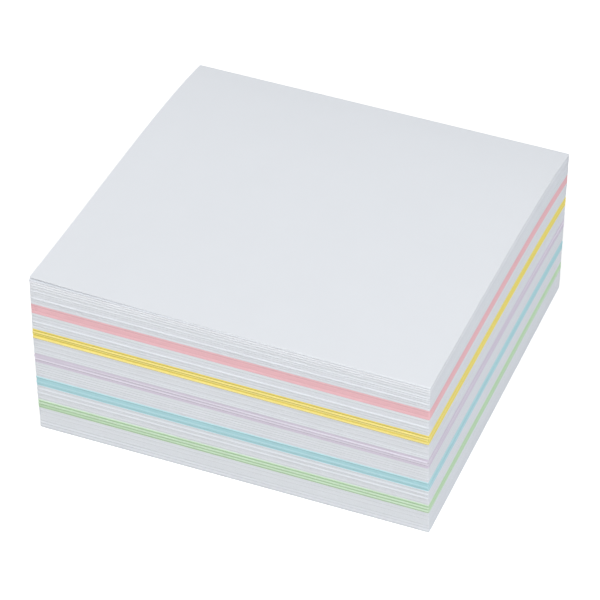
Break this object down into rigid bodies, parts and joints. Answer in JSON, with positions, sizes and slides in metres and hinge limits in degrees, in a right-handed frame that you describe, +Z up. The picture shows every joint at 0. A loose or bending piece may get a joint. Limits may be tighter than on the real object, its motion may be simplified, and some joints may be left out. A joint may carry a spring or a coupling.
{
  "type": "memo cube",
  "caption": "Square block of loose note sheets for a desk, in white runs parted by thin runs of pastel paper, with a curled sheet on top.",
  "frame": {"origin": "on the table under the middle of the block's outline", "axes": "+Z up, -Y towards the front face, +X towards the right face"},
  "size_m": [0.0912, 0.0912, 0.041],
  "materials": {
    "white_paper": "matt uncoated",
    "pink_paper": "matt uncoated",
    "yellow_paper": "matt uncoated",
    "lavender_paper": "matt uncoated",
    "cyan_paper": "matt uncoated",
    "green_paper": "matt uncoated"
  },
  "bodies": {
    "root": {"white_sheets_1": "white_paper", "green_sheets": "green_paper", "white_sheets_2": "white_paper", "cyan_sheets": "cyan_paper", "white_sheets_3": "white_paper", "lavender_sheets": "lavender_paper", "white_sheets_4": "white_paper", "yellow_sheets": "yellow_paper", "white_sheets_5": "white_paper", "pink_sheets": "pink_paper", "white_sheets_6": "white_paper", "top_sheet": "white_paper"}
  },
  "joints": []
}
